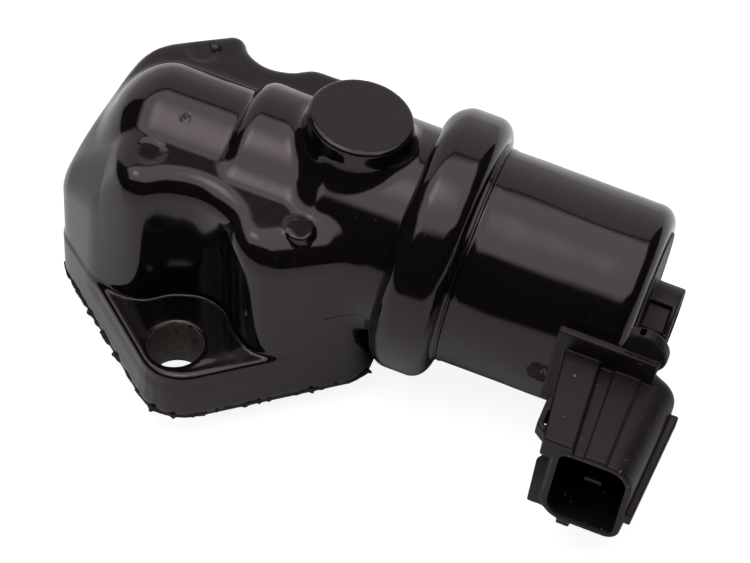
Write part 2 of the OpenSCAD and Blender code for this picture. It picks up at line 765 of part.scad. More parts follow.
module connector_housing() {
    color([0.09, 0.08, 0.08]) on_axis() difference() {
        union() {
            // The disc inside the can and the face in its mouth
            rotate_extrude() intersection() {
                can_section(can_wall + seat_gap, 0);
                translate([0, cap_disc_at]) square([can_r, cap_disc_t]);
            }
            rod(can_mouth_r - seat_gap, cap_disc_at, boss_face);
            // The vent stub
            rod(stub_r, boss_face - 1, can_end + stub_l);
            // The bridge through the notch, and the collar with the shell
            translate([-plug_h / 2 + bridge_inset, bridge_root, cap_disc_at])
                cube([plug_h - 2 * bridge_inset, collar_end - bridge_root, bridge_t]);
            translate([-plug_h / 2 + bridge_inset, collar_at, plug_at - collar_left])
                cube([plug_h / 2 - bridge_inset + collar_top, collar_t, collar_l]);
            intersection() {
                translate([collar_top - lens_drop, lens_root, boss_face + lens_out]) rotate([-90, 0, 0])
                    cylinder(r = lens_r, h = collar_end - lens_root);
                translate([-2, lens_root, boss_face - 0.1]) cube([2 * lens_r + 10, collar_end - lens_root, 2 * lens_r]);
            }
            translate([-web_w / 2, stub_r - 1.9, boss_face - 1]) cube([web_w, collar_end - stub_r + 1.9, web_t]);
            along_plug() translate([0, 0, collar_end - sink])
                linear_extrude(height = plug_mouth - collar_end + sink) shell_outline(0);
            plug_keys();
        }
        along_plug() translate([0, 0, plug_floor]) linear_extrude(height = 20) shell_outline(plug_wall);
        // The vent's bore and the window in its side
        rod(stub_bore_r, boss_face - 0.8, can_end + stub_l + 1);
        translate([1.5, 2, can_end + 1.4]) cube([6, 3, 3.4]);
        for (side = [-1, 1]) terminal(side, 0.03);
        translate([0, 0, cap_disc_at - 1])
            ring(cap_seal_r + cap_seal_d / 2 + 0.15, cap_seal_r - cap_seal_d / 2 - 0.15, 0, 1.1 + cap_seal_d);
        // The window frame in the rail
        along_plug() translate([plug_left - 3, plug_h / 2 - 2.2, collar_end + 5]) cube([1.8, 4, 6]);
    }
}

module terminal_upper() {
    color([0.7, 0.66, 0.5]) on_axis() terminal(1, 0);
}

module terminal_lower() {
    color([0.7, 0.66, 0.5]) on_axis() terminal(-1, 0);
}

module vent_filter() {
    color([0.2, 0.2, 0.2]) on_axis() rod(stub_bore_r - 0.1, boss_face - 0.7, can_end + filter_out);
}

valve_body();
mounting_gasket();
seat_ring();
poppet();
poppet_face();
rod_nut();
plunger_rod();
return_spring();
front_guide();
front_bush();
body_seal();
front_plate();
pole_piece();
guide_sleeve();
armature();
coil_bobbin();
coil_winding();
rear_plate();
cap_seal();
solenoid_can();
connector_housing();
terminal_upper();
terminal_lower();
vent_filter();
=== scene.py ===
# %% [markdown]
# # Dressing an idle air control valve
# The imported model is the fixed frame: every piece below is built in its coordinates, in metres.
# The part is a gloss-black casting with a crimped solenoid can and a matte plastic connector.

# %% Load the frame
import itertools
import json
import math

import bpy
import numpy as np
from mathutils import Matrix, Vector


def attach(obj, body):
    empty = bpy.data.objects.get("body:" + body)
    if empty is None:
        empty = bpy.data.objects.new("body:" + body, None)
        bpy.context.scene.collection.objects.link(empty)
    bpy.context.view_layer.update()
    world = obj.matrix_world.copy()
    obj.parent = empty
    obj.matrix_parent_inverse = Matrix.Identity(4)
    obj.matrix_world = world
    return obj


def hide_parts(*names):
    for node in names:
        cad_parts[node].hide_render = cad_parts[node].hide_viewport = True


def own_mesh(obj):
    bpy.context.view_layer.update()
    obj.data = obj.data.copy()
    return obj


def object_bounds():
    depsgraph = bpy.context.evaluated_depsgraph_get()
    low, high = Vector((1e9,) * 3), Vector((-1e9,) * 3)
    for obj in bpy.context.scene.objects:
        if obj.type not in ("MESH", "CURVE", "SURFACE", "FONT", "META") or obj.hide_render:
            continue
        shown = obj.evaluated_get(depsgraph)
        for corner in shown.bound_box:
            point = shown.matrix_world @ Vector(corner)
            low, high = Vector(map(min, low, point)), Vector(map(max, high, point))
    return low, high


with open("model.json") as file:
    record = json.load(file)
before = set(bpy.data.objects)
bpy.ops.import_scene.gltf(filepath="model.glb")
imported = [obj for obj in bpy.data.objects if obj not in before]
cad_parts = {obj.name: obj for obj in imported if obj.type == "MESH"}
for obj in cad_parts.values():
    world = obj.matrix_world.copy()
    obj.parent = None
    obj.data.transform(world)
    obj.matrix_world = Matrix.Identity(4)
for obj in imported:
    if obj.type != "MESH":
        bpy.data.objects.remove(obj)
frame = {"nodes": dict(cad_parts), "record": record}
nodes = frame["nodes"]
cad_low, cad_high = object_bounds()
MM = 0.001
print("frame nodes:", len(nodes), "CAD box (mm):", [round(v / MM, 1) for v in cad_high - cad_low])

# %% [markdown]
# ## The camera
# The picture is a long-lens view from about 49 degrees above, turned 19 degrees from the bore.
# The lens and the distance come from how little the round can and ring narrow towards the back.

# %% Camera
LOOK_AT = Vector((22.6, 5.4, -2.0)) * MM
TO_CAMERA = Vector((0.2158, -0.6196, 0.7547)).normalized()
CAMERA_DISTANCE = 0.826
LENS_MM = 240
SENSOR_MM = 36

camera_data = bpy.data.cameras.new("photo_camera")
camera_data.lens = LENS_MM
camera_data.sensor_width = SENSOR_MM
camera_data.clip_end = 10
camera = bpy.data.objects.new("photo_camera", camera_data)
bpy.context.scene.collection.objects.link(camera)
camera.location = LOOK_AT + TO_CAMERA * CAMERA_DISTANCE
camera.rotation_euler = (-TO_CAMERA).to_track_quat("-Z", "Y").to_euler()
bpy.context.scene.camera = camera
print("camera elevation:", round(math.degrees(math.asin(TO_CAMERA.z)), 1))

# %% [markdown]
# ## Shader maths as Python
# A finish is easier to read as arithmetic than as a web of nodes, so a small class wraps a socket.

# %% Shader helper
class Sock:
    """A number socket that adds Math nodes when it is used in an expression."""

    def __init__(self, shader, socket):
        self.shader, self.socket = shader, socket

    def __add__(self, other):
        return self.shader.math("ADD", self, other)

    def __sub__(self, other):
        return self.shader.math("SUBTRACT", self, other)

    def __rsub__(self, other):
        return self.shader.math("SUBTRACT", other, self)

    def __mul__(self, other):
        return self.shader.math("MULTIPLY", self, other)

    def above(self, low, high):
        """0 under low, 1 over high, smooth between."""
        return self.shader.node(
            "ShaderNodeMapRange", {"interpolation_type": "SMOOTHSTEP"},
            {"Value": self, "From Min": low, "From Max": high}, "Result")


class Shader:
    """Builds one material's nodes."""

    def __init__(self, name):
        self.material = bpy.data.materials.new(name)
        self.material.use_nodes = True
        self.tree = self.material.node_tree
        self.surface = self.tree.nodes["Principled BSDF"]
        self.coords = self.node("ShaderNodeTexCoord", {}, {}, "Object")

    def node(self, kind, settings, values, output=0):
        made = self.tree.nodes.new(kind)
        for key, value in settings.items():
            setattr(made, key, value)
        for key, value in values.items():
            if isinstance(value, Sock):
                self.tree.links.new(value.socket, made.inputs[key])
            else:
                made.inputs[key].default_value = value
        return Sock(self, made.outputs[output])

    def noise(self, scale, detail, roughness):
        """Noise over Object coordinates, with the scale in bumps per metre."""
        return self.node("ShaderNodeTexNoise", {}, {
            "Vector": self.coords, "Scale": scale, "Detail": detail, "Roughness": roughness}, "Fac")

    def mix(self, factor, first, second):
        made = self.tree.nodes.new("ShaderNodeMix")
        made.data_type = "RGBA"
        for key, value in ((0, factor), (6, first), (7, second)):
            if isinstance(value, Sock):
                self.tree.links.new(value.socket, made.inputs[key])
            else:
                made.inputs[key].default_value = (*value, 1) if key else value
        return Sock(self, made.outputs[2])

    def math(self, operation, first, second=None):
        values = {0: first} if second is None else {0: first, 1: second}
        return self.node("ShaderNodeMath", {"operation": operation}, values)

    def place(self, axis):
        """One Object coordinate, in millimetres."""
        split = self.node("ShaderNodeSeparateXYZ", {}, {"Vector": self.coords}, axis)
        return split * (1 / MM)

    def bump(self, height, distance):
        return self.node("ShaderNodeBump", {}, {"Height": height, "Distance": distance})

    def spot(self, centre, radius, edge):
        """1 inside a ball round a place in millimetres, 0 outside; its edge is a share of the radius."""
        offset = self.node("ShaderNodeVectorMath", {"operation": "DISTANCE"},
                           {0: self.coords, 1: Vector(centre) * MM}, "Value")
        return 1 - offset.above(radius * MM * (1 - edge), radius * MM)

    def set(self, **values):
        for key, value in values.items():
            socket = self.surface.inputs[key.replace("_", " ")]
            if isinstance(value, Sock):
                self.tree.links.new(value.socket, socket)
            elif isinstance(value, tuple) and len(value) == 3:
                socket.default_value = (*value, 1)
            else:
                socket.default_value = value
        return self.material


# %% [markdown]
# ## The finishes
# The casting and the can wear the same thick gloss enamel: near-black, mirror-smooth, with the faint
# orange peel that breaks up the edge of each reflection.

# %% Black enamel
ENAMEL = (0.0045, 0.0036, 0.0038)
ENAMEL_TINT = (1.0, 0.84, 0.86)
ENAMEL_ROUGHNESS = 0.09
ENAMEL_BUMP = 0.00002
BARE_METAL = (0.1, 0.084, 0.072)
PRIMER = (0.006, 0.005, 0.005)
RUST = (0.2, 0.075, 0.02)
BOLT_Y = 27.0
BOSS_TOP_AT = (21.7, 1.8, 41.4)
PIT_AT = (-6.1, -4.0, 36.6)
CHIP_AT, RUST_AT = (58.2, -17.9, 14.9), (59.4, -17.6, 15.2)
# The long wall's direction in plan, and the raised patch on it that the seam borders: where it starts
# along the wall, how far out the wall stands there, and the patch's top
WALL_COS, WALL_SIN = 0.819, 0.574
SEAM_START, SEAM_OUT, SEAM_TOP = 7.1, 25.5, 15.9


def enamel(name, peel=0.45):
    """Thick gloss paint with a fine peel, and tiny dust grains caught in it."""
    s = Shader(name)
    fine = s.noise(900, 3, 0.6)
    coarse = s.noise(150, 2, 0.5)
    dust = s.noise(1500, 2, 0.5).above(0.72, 0.76)
    wave = s.noise(75, 2, 0.5)
    s.height = coarse * peel + fine * (0.3 * peel) + dust * 0.9 + wave * 3.0
    return s


def casting_enamel():
    """The casting's paint: bare metal in the bolt holes, a seam, a pit, and coarser peel on the boss."""
    s = enamel("casting_enamel")
    x, y, z = s.place("X"), s.place("Y"), s.place("Z")
    beside_bolt = s.math("ABSOLUTE", y) - BOLT_Y
    from_bolt = s.math("SQRT", x * x + beside_bolt * beside_bolt)
    drips = s.noise(260, 2, 0.5).above(0.56, 0.6)
    bare = (1 - from_bolt.above(4.55, 4.75)) * (1 - drips)
    cast = s.noise(1400, 4, 0.7)
    metal_shade = s.mix(cast.above(0.35, 0.65), tuple(0.45 * c for c in BARE_METAL), BARE_METAL)
    grain = (cast - 0.5) * bare * 8.0
    seam = (x * WALL_COS + y * WALL_SIN).above(SEAM_START, SEAM_START + 0.25)
    seam = seam * (1 - z.above(SEAM_TOP, SEAM_TOP + 0.25))
    seam = seam * (x * WALL_SIN - y * WALL_COS).above(SEAM_OUT, SEAM_OUT + 0.5)
    rough_top = s.spot(BOSS_TOP_AT, 9.5, 0.1) * s.noise(520, 3, 0.6)
    pit = s.spot(PIT_AT, 1.4, 0.6) * s.noise(900, 3, 0.7).above(0.45, 0.6)
    relief = s.height + grain + seam * 5.0 + rough_top * 1.6 - pit * 12.0
    return s.set(Base_Color=s.mix(bare, ENAMEL, metal_shade), Roughness=bare * 0.45 + ENAMEL_ROUGHNESS,
                 Specular_Tint=ENAMEL_TINT, Normal=s.bump(relief, ENAMEL_BUMP))


def can_enamel():
    """The can's paint: a chip with a touch of rust, near the connector."""
    s = enamel("can_enamel", 0.35)
    wander = s.noise(700, 3, 0.7)
    chip = (s.spot(CHIP_AT, 3.7, 0.9) + wander - 0.5).above(0.42, 0.5)
    rust = (s.spot(RUST_AT, 1.9, 0.9) + s.noise(1100, 3, 0.7) - 0.5).above(0.5, 0.6)
    shade = s.mix(chip, ENAMEL, PRIMER)
    shade = s.mix(rust * s.noise(2200, 2, 0.5).above(0.45, 0.6), shade, RUST)
    return s.set(Base_Color=shade, Roughness=chip * 0.7 + ENAMEL_ROUGHNESS, Specular_Tint=ENAMEL_TINT,
                 Normal=s.bump(s.height - chip * (wander * 30.0) + rust * 3.0, ENAMEL_BUMP))


# %% Other finishes
def metal(name, colour, roughness):
    """Bare metal with a fine turned grain."""
    s = Shader(name)
    grain = s.noise(2500, 2, 0.6)
    return s.set(Base_Color=colour, Metallic=1.0, Roughness=grain * 0.16 + (roughness - 0.08),
                 Normal=s.bump(grain, 0.000008))


def plain_matte(name, colour, roughness, scale, depth):
    """A matte material with a mottled shade and a grain of some depth."""
    s = Shader(name)
    grain = s.noise(scale, 3, 0.6)
    shade = s.mix(grain.above(0.3, 0.7), tuple(0.75 * c for c in colour), tuple(1.25 * c for c in colour))
    return s.set(Base_Color=shade, Roughness=roughness, Normal=s.bump(grain, depth))


def nylon():
    """Matte moulded plastic with pale dust specks."""
    s = Shader("connector_nylon")
    grain = s.noise(1800, 3, 0.6)
    cloud = s.noise(220, 2, 0.6)
    speck = s.noise(1100, 1, 0.4).above(0.75, 0.79)
    shade = s.mix(cloud.above(0.35, 0.65), (0.0062, 0.0046, 0.0045), (0.0098, 0.0075, 0.0071))
    shade = s.mix(speck, shade, (0.16, 0.14, 0.12))
    return s.set(Base_Color=shade, Roughness=cloud * 0.12 + 0.4, Specular_IOR_Level=0.3,
                 Specular_Tint=ENAMEL_TINT, Normal=s.bump(grain + speck * 1.5, 0.00003))


# %% Put the finishes on the nodes
finishes = {
    "casting_paint": casting_enamel(),
    "can_paint": can_enamel(),
    "connector_plastic": nylon(),
    "gasket_paper": plain_matte("gasket_fibre", (0.02, 0.017, 0.015), 0.85, 1500, 0.0001),
    "terminal_metal": metal("terminal_tin", (0.09, 0.08, 0.07), 0.4),
    "seal_rubber": plain_matte("seal_rubber", (0.02, 0.02, 0.02), 0.6, 900, 0.00003),
    "brass": metal("turned_brass", (0.7, 0.5, 0.22), 0.28),
    "aluminium": metal("turned_aluminium", (0.62, 0.63, 0.64), 0.32),
    "steel": metal("turned_steel", (0.5, 0.5, 0.51), 0.3),
    "spring_steel": metal("spring_wire", (0.42, 0.42, 0.44), 0.25),
    "inner_plastic": plain_matte("bobbin_nylon", (0.03, 0.03, 0.032), 0.5, 1200, 0.00003),
    "copper_wire": metal("coil_wire", (0.62, 0.28, 0.12), 0.35),
    "filter_felt": plain_matte("filter_foam", (0.02, 0.02, 0.02), 0.95, 1200, 0.0003),
}

slot_of = {part["node"]: part["material_slot"] for part in frame["record"]["subparts"]}
for name, node in nodes.items():
    node.data.materials.clear()
    node.data.materials.append(finishes[slot_of[name]])
print("finishes:", len(finishes))

# %% [markdown]
# ## Forms as fields
# A casting has no sharp joins: every hump runs into its neighbour through a fillet. Such a form is
# simple as a field, a function that is negative inside the metal. Two fields join with a round
# fillet, or cut each other with a rounded rim, and one routine then skins the zero level with quads.

# %% Field tools
def join(a, b, r):
    """Union of two fields with a concave fillet of radius r."""
    return np.maximum(r, np.minimum(a, b)) - np.hypot(np.maximum(r - a, 0), np.maximum(r - b, 0))


def meet(a, b, r):
    """What two fields share, with its edge rounded to radius r."""
    return np.minimum(-r, np.maximum(a, b)) + np.hypot(np.maximum(r + a, 0), np.maximum(r + b, 0))


def cut(a, b, r):
    """Field a with b taken away, and the rim rounded to radius r."""
    return meet(a, -b, r)


def between(place, low, high):
    """Negative where a coordinate lies between two values."""
    return np.maximum(low - place, place - high)


# %% Skinning
# How many parts a grid is worked out in, how often its points are pulled, and how far the field is probed
SLABS = 12
PULL_ROUNDS = 4
PROBE = 0.02


def skin(name, field, low, high, cell, finish, body):
    """Skins the zero level of a field (in mm) with quads of about one cell, and rides it on a body."""
    axes = [np.arange(low[i], high[i] + cell, cell) for i in range(3)]
    grid = np.stack(np.meshgrid(*axes, indexing="ij"), -1)
    value = np.concatenate([field(slab) for slab in np.array_split(grid, SLABS)])
    inside = value < 0
    shape = np.array(value.shape)
    total = np.zeros((*shape, 3))
    count = np.zeros(shape, int)
    steps = np.eye(3, dtype=int)
    crossings = []
    for axis in range(3):
        here = tuple(slice(0, -1) if i == axis else slice(None) for i in range(3))
        there = tuple(slice(1, None) if i == axis else slice(None) for i in range(3))
        i, j, k = np.nonzero(inside[here] != inside[there])
        cells = np.stack([i, j, k], 1)
        a = value[i, j, k]
        b = value[tuple((cells + steps[axis]).T)]
        place = cells + steps[axis] * (a / (a - b))[:, None]
        crossings.append((cells, inside[i, j, k]))
        one, two = steps[(axis + 1) % 3], steps[(axis + 2) % 3]
        for shift in (0 * one, one, two, one + two):
            at = tuple((cells - shift).T)
            np.add.at(total, at, place)
            np.add.at(count, at, 1)
    used = count > 0
    number = np.full(tuple(shape), -1)
    number[used] = np.arange(used.sum())
    points = total[used] / count[used][:, None] * cell + np.array(low)
    quads = []
    for axis, (cells, solid) in enumerate(crossings):
        one, two = steps[(axis + 1) % 3], steps[(axis + 2) % 3]
        around = [number[tuple((cells - shift).T)] for shift in (one + two, two, 0 * one, one)]
        face = np.stack(around, 1)
        face[~solid] = face[~solid][:, ::-1]
        quads.append(face)
    quads = np.concatenate(quads)
    # Each point is pulled onto the exact zero level
    for _ in range(PULL_ROUNDS):
        at = field(points)
        steepness = np.stack([(field(points + step) - field(points - step)) / (2 * PROBE)
                              for step in np.eye(3) * PROBE], -1)
        move = (at / np.maximum((steepness ** 2).sum(-1), 0.2))[:, None] * steepness
        length = np.linalg.norm(move, axis=1, keepdims=True)
        points = points - move * np.minimum(1, 0.4 * cell / np.maximum(length, 1e-9))
    mesh = bpy.data.meshes.new(name)
    mesh.vertices.add(len(points))
    mesh.vertices.foreach_set("co", (points * MM).astype(np.float32).ravel())
    mesh.loops.add(quads.size)
    mesh.loops.foreach_set("vertex_index", quads.astype(np.int32).ravel())
    mesh.polygons.add(len(quads))
    mesh.polygons.foreach_set("loop_start", np.arange(0, quads.size, 4, dtype=np.int32))
    mesh.update(calc_edges=True)
    mesh.validate()
    mesh.shade_smooth()
    mesh.materials.append(finishes[finish])
    piece = bpy.data.objects.new(name, mesh)
    bpy.context.scene.collection.objects.link(piece)
    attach(piece, body)
    print(name, "quads:", len(quads))
    return piece


# %% [markdown]
# ## The driving sizes
# They are the construction's own: the bore axis leans 9 degrees, and places along it are measured
# from the crimped joint, positive towards the connector.

# %% Sizes
TILT = math.radians(9)
JOINT = np.array((36.1, 0.0, 18.6))
GASKET_T = 0.8
PAD_TOP = 9.2
BOLT_HOLE_R = 4.5
PORT_X, PORT_HALF, PORT_R = 13.0, 3.5, 5.0
SPRING_FROM, SPRING_TO = -55.5, -41.15
print("bore leans (degrees):", round(math.degrees(TILT), 1), "crimped joint at (mm):", JOINT)


# %% Places and distances
def bore_frame(p):
    """Places as (rise above the axis, reach towards the connector, run along the axis)."""
    q = p - JOINT
    rise = q[..., 0] * math.sin(TILT) + q[..., 2] * math.cos(TILT)
    run = q[..., 0] * math.cos(TILT) - q[..., 2] * math.sin(TILT)
    return rise, -q[..., 1], run


def wall(p, angle, distance):
    """An upright wall: its outward normal's plan angle in degrees and its distance from the origin."""
    a = math.radians(angle)
    return p[..., 0] * math.cos(a) + p[..., 1] * math.sin(a) - distance


def from_bolts(p):
    """Distance in plan to the nearer bolt hole's centre."""
    return np.hypot(p[..., 0], np.abs(p[..., 1]) - BOLT_Y)


def from_ports(p):
    """Distance in plan to the nearer port's centre line."""
    return np.hypot(np.abs(p[..., 0]) - PORT_X, np.maximum(np.abs(p[..., 1]) - PORT_HALF, 0))


# %% [markdown]
# ## The casting
# One die casting: a six-sided block over the flange, two scallops that clear the bolt heads, two
# humps over the air chambers, the neck, and a round boss on top.

# %% Casting sizes
LONG_NORMAL, SHORT_NORMAL = -55.0, -135.0
PAD_R = 8.0
CORNER_R = 6.0
FLANGE_RIGHT, FLANGE_LEFT = 28.5, 26.5
SHORT_INSET = 1.2
DECK_RISE, TIER_RISE = 10.6, 4.6
# The far scallop's size beside the near one, and the wall over the far pad
FAR_SHARE, FAR_WALL = 0.76, 24.0
BOSS_TOP, BOSS_R, BOSS_RUN = 20.4, 8.55, -17.8
BOSS_LEAN = math.radians(5)
# The sloping shoulder's plan angle, steepness, reach and height
SHOULDER = (185.2, 46.9, 26.54, 23.7)
DOME_LENGTH, DOME_AT = 9.0, -49.0
DOME_WALL_ANGLE, DOME_WALL = 159.3, 23.2
INLET_R, OUTLET_R, NECK_R, RIM_R = 12.5, 14.9, 17.2, 19.0
# Each ejector mark's rise, reach and run, and its step: negative where it is sunk
MARKS = ((DECK_RISE, 12.0, -47.6, -0.22), (TIER_RISE, -16.6, -48.6, -0.25), (9.4, 16.4, -20.4, 1.6))
MARK_R = 2.4
INLET_ROOM_R = 9.3
INLET_PORT_TOP, OUTLET_PORT_TOP = 22.6, 14.6
# Radius and both ends of the spring's pocket, the seat's hole, the outlet's chamber and the guide's bore
BORES = ((5.4, SPRING_FROM - 0.1, -48.0), (8.7, -38.0, -33.0), (11.5, -34.0, -10.0), (12.2, -11.2, 5.0))
CAST_LOW = (-28.0, -39.0, 0.0)
CAST_HIGH = (41.0, 39.0, 46.0)
CAST_CELL = 0.47
print("dome ends at (mm):", DOME_AT - DOME_LENGTH, "boss top at (mm):", BOSS_TOP)


# %% Outlines and walls in plan
def smooth_line(points, steps=6):
    """A Catmull-Rom curve through plan points."""
    points = np.array(points, float)
    ends = np.vstack([2 * points[0] - points[1], points, 2 * points[-1] - points[-2]])
    line = []
    for i in range(1, len(ends) - 2):
        before, start, end, after = ends[i - 1:i + 3]
        bend = 2 * before - 5 * start + 4 * end - after
        twist = 3 * start - before - 3 * end + after
        for t in np.arange(steps) / steps:
            line.append(0.5 * (2 * start + (end - before) * t + bend * t ** 2 + twist * t ** 3))
    return np.vstack([line, points[-1]])


def inside_outline(x, y, outline):
    """Signed distance to a closed plan outline, negative inside."""
    nearest = np.full(x.shape, 1e9)
    sign = np.ones(x.shape)
    for start, end in zip(outline, np.roll(outline, -1, axis=0)):
        edge = end - start
        dx, dy = x - start[0], y - start[1]
        t = np.clip((dx * edge[0] + dy * edge[1]) / (edge @ edge), 0, 1)
        nearest = np.minimum(nearest, (dx - t * edge[0]) ** 2 + (dy - t * edge[1]) ** 2)
        crosses = ((start[1] <= y) & (y < end[1])) | ((end[1] <= y) & (y < start[1]))
        flip = crosses & ((edge[0] * (y - start[1]) - (x - start[0]) * edge[1]) * np.sign(edge[1]) > 0)
        sign = np.where(flip, -sign, sign)
    return sign * np.sqrt(nearest)


def plan(p):
    """X and Y of the places; on a grid one layer is enough, because every layer above it is the same."""
    flat = p[..., :1, :] if p.ndim == 4 else p
    return flat[..., 0], flat[..., 1]


def rounded_outline(edges, radii, steps=7):
    """A plan polygon from straight edges (normal angle, distance), with true arcs at its corners."""
    line = []
    for i, ((angle, distance), radius) in enumerate(zip(edges, radii)):
        next_angle, next_distance = edges[(i + 1) % len(edges)]
        a, b = math.radians(angle), math.radians(next_angle)
        normals = np.array([(math.cos(a), math.sin(a)), (math.cos(b), math.sin(b))])
        centre = np.linalg.solve(normals, (distance - radius, next_distance - radius))
        sweep = (next_angle - angle) % 360
        for turn in np.radians(angle + sweep * np.linspace(0, 1, steps)):
            line.append(centre + radius * np.array((math.cos(turn), math.sin(turn))))
    return np.array(line)


# The flange's plan: two tangents at each bolt hole, and a straight edge at each side
LONG_REACH = PAD_R - BOLT_Y * math.sin(math.radians(LONG_NORMAL))
SHORT_REACH = PAD_R - BOLT_Y * math.sin(math.radians(SHORT_NORMAL))
FLANGE_OUTLINE = rounded_outline(
    [(SHORT_NORMAL, SHORT_REACH - SHORT_INSET), (LONG_NORMAL, LONG_REACH), (0, FLANGE_RIGHT),
     (SHORT_NORMAL + 180, SHORT_REACH), (LONG_NORMAL + 180, LONG_REACH), (180, FLANGE_LEFT)],
    [PAD_R, CORNER_R, CORNER_R, PAD_R, CORNER_R, CORNER_R])


def off_left(p):
    """0 over the flange's left edge, growing to 1 further right."""
    return np.clip((p[..., 0] + 24) / 8, 0, 1)


def flange_walls(p, draft=0.0, left_draft=0.0):
    """The upright walls over the flange's edge; the wall on the dome's side may lean less."""
    lean = left_draft + (draft - left_draft) * off_left(p)
    return inside_outline(*plan(p), FLANGE_OUTLINE) + lean * p[..., 2]


def slope(p, angle, steepness, reach, height):
    """A sloping face that looks towards a plan angle and passes through a reach and a height."""
    a, t = math.radians(angle), math.radians(steepness)
    across = p[..., 0] * math.cos(a) + p[..., 1] * math.sin(a) - reach
    return across * math.sin(t) + (p[..., 2] - height) * math.cos(t)


SCALLOP_LINE = smooth_line([
    (-25, -21.4), (-14.8, -20.3), (-8.6, -19.9), (-4.2, -17.2), (0.8, -16.2),
    (5.4, -18.0), (8.7, -22.0), (14.4, -25.7), (25, -29.0)])
SCALLOP_OUTLINE = np.vstack([SCALLOP_LINE, [(25, -48), (-25, -48)]])


def scallop(p, side, share=1.0):
    """The upright pocket round a bolt hole, open towards the flange's edge."""
    x, y = plan(p)
    x, y = x * side / share, (y * side + BOLT_Y) / share - BOLT_Y
    return inside_outline(x, y, SCALLOP_OUTLINE) * share


# %% Casting field
def air_rooms(p):
    """The ports, the chambers over them and the bores that take the seat, the spring and the guide."""
    rise, reach, run = bore_frame(p)
    from_axis = np.hypot(rise, reach)
    rooms = np.maximum(np.hypot(from_axis, np.minimum(run - DOME_AT, 0) * 1.6) - INLET_ROOM_R, run + 37.0)
    for radius, low, high in BORES:
        rooms = np.minimum(rooms, np.maximum(from_axis - radius, between(run, low, high)))
    port_top = np.where(p[..., 0] < 0, INLET_PORT_TOP, OUTLET_PORT_TOP)
    return np.minimum(rooms, np.maximum(from_ports(p) - PORT_R, p[..., 2] - port_top))


def casting(p):
    """The whole casting, from the block and its scallops to the humps, the boss and the bores."""
    rise, reach, run = bore_frame(p)
    height = p[..., 2]
    walls = flange_walls(p, 0.06, 0.02)
    walls = meet(walls, wall(p, LONG_NORMAL + 180, FAR_WALL) + 0.03 * height, 2.0)
    walls = meet(walls, wall(p, DOME_WALL_ANGLE, DOME_WALL), 3.0)
    near_deck = meet(rise - DECK_RISE, -reach, 2.0)
    deck = join(near_deck, rise - TIER_RISE, 1.5)
    top = meet(deck, slope(p, *SHOULDER), 2.5)
    near_side = np.clip((reach + 6) / 12, 0, 1)
    block = meet(walls, top, 2.3 + near_side * (0.7 + 2.6 * off_left(p)))
    block = cut(block, np.maximum(scallop(p, 1), PAD_TOP - height), 4.0)
    block = cut(block, np.maximum(scallop(p, -1, FAR_SHARE), PAD_TOP - height), 2.0)
    plate = meet(flange_walls(p, 0.07), between(height, GASKET_T, PAD_TOP), 0.8)
    body = join(block, plate, 0.6)
    from_axis = np.hypot(rise, reach)
    inlet = np.hypot(from_axis, np.minimum(run - DOME_AT, 0) * INLET_R / DOME_LENGTH) - INLET_R
    inlet = meet(inlet, run + 35.0, 1.5)
    outlet = meet(from_axis - OUTLET_R, between(run, -36.4, -20.0), 3.0)
    neck = meet(from_axis - NECK_R, between(run, -22.0, 2.0), 3.0)
    humps = join(join(inlet, outlet, 0.6), neck, 3.0)
    body = join(body, humps, 1.6)
    boss_rise = rise * math.cos(BOSS_LEAN) - reach * math.sin(BOSS_LEAN)
    boss_away = np.hypot(run - BOSS_RUN, reach * math.cos(BOSS_LEAN) + rise * math.sin(BOSS_LEAN))
    boss = meet(boss_away - BOSS_R - 0.02 * (BOSS_TOP - boss_rise), between(boss_rise, 5, BOSS_TOP), 0.7)
    body = join(body, boss, 2.5)
    for mark_rise, mark_reach, mark_run, step in MARKS:
        away = np.hypot(reach - mark_reach, run - mark_run) - MARK_R
        disc = meet(away, np.abs(rise - mark_rise) - abs(step), 0.15)
        body = cut(body, disc, 0.25) if step < 0 else join(body, disc, 0.3)
    rim = meet(from_axis - RIM_R, between(run, -4.4, 3.4), 0.6)
    body = np.minimum(body, rim)
    return cut(cut(body, from_bolts(p) - BOLT_HOLE_R, 0.5), air_rooms(p), 0.3)


body_casting = skin("body_casting", casting, CAST_LOW, CAST_HIGH, CAST_CELL, "casting_paint", "housing")
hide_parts("valve_body")

# %% [markdown]
# ## The gasket
# A black fibre gasket with a torn, uneven edge shows as a ragged line along the foot of the casting.

# %% Gasket
# The gasket has a slot over the ring's foot: where it starts and half its width
RELIEF_X, RELIEF_HALF = 26.2, 14.8
HOLE_SPACE, PORT_SPACE = 0.4, 0.3


def ripple(p, size, seed):
    """A smooth wandering number between about -1 and 1."""
    rng = np.random.default_rng(seed)
    total = np.zeros(p.shape[:-1])
    for _ in range(7):
        direction = rng.normal(size=3)
        direction *= 2 * math.pi / size * rng.uniform(0.6, 1.6) / np.linalg.norm(direction)
        total += np.sin(p @ direction + rng.uniform(0, 2 * math.pi))
    return total / 3.5


def gasket(p):
    """The sheet with its torn edge, the bolt holes, the ports and the slot."""
    torn = np.maximum(ripple(p, 5.0, 3), 0) * 0.4 + np.maximum(ripple(p, 1.7, 8) - 0.1, 0) * 0.55
    edge = flange_walls(p) - 0.05 - torn + np.maximum(ripple(p, 9.0, 5) - 0.5, 0) * 0.5
    sheet = meet(edge, between(p[..., 2], 0, GASKET_T + 0.05), 0.2)
    holes = from_bolts(p) - BOLT_HOLE_R - HOLE_SPACE
    ports = from_ports(p) - PORT_R - PORT_SPACE
    relief = np.maximum(RELIEF_X - p[..., 0], np.abs(p[..., 1]) - RELIEF_HALF)
    return np.maximum(sheet, -np.minimum(np.minimum(holes, ports), relief))


gasket_sheet = skin("gasket_sheet", gasket, (-28, -39, -0.6), (30, 39, 1.6), 0.4, "gasket_paper", "housing")
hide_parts("mounting_gasket")

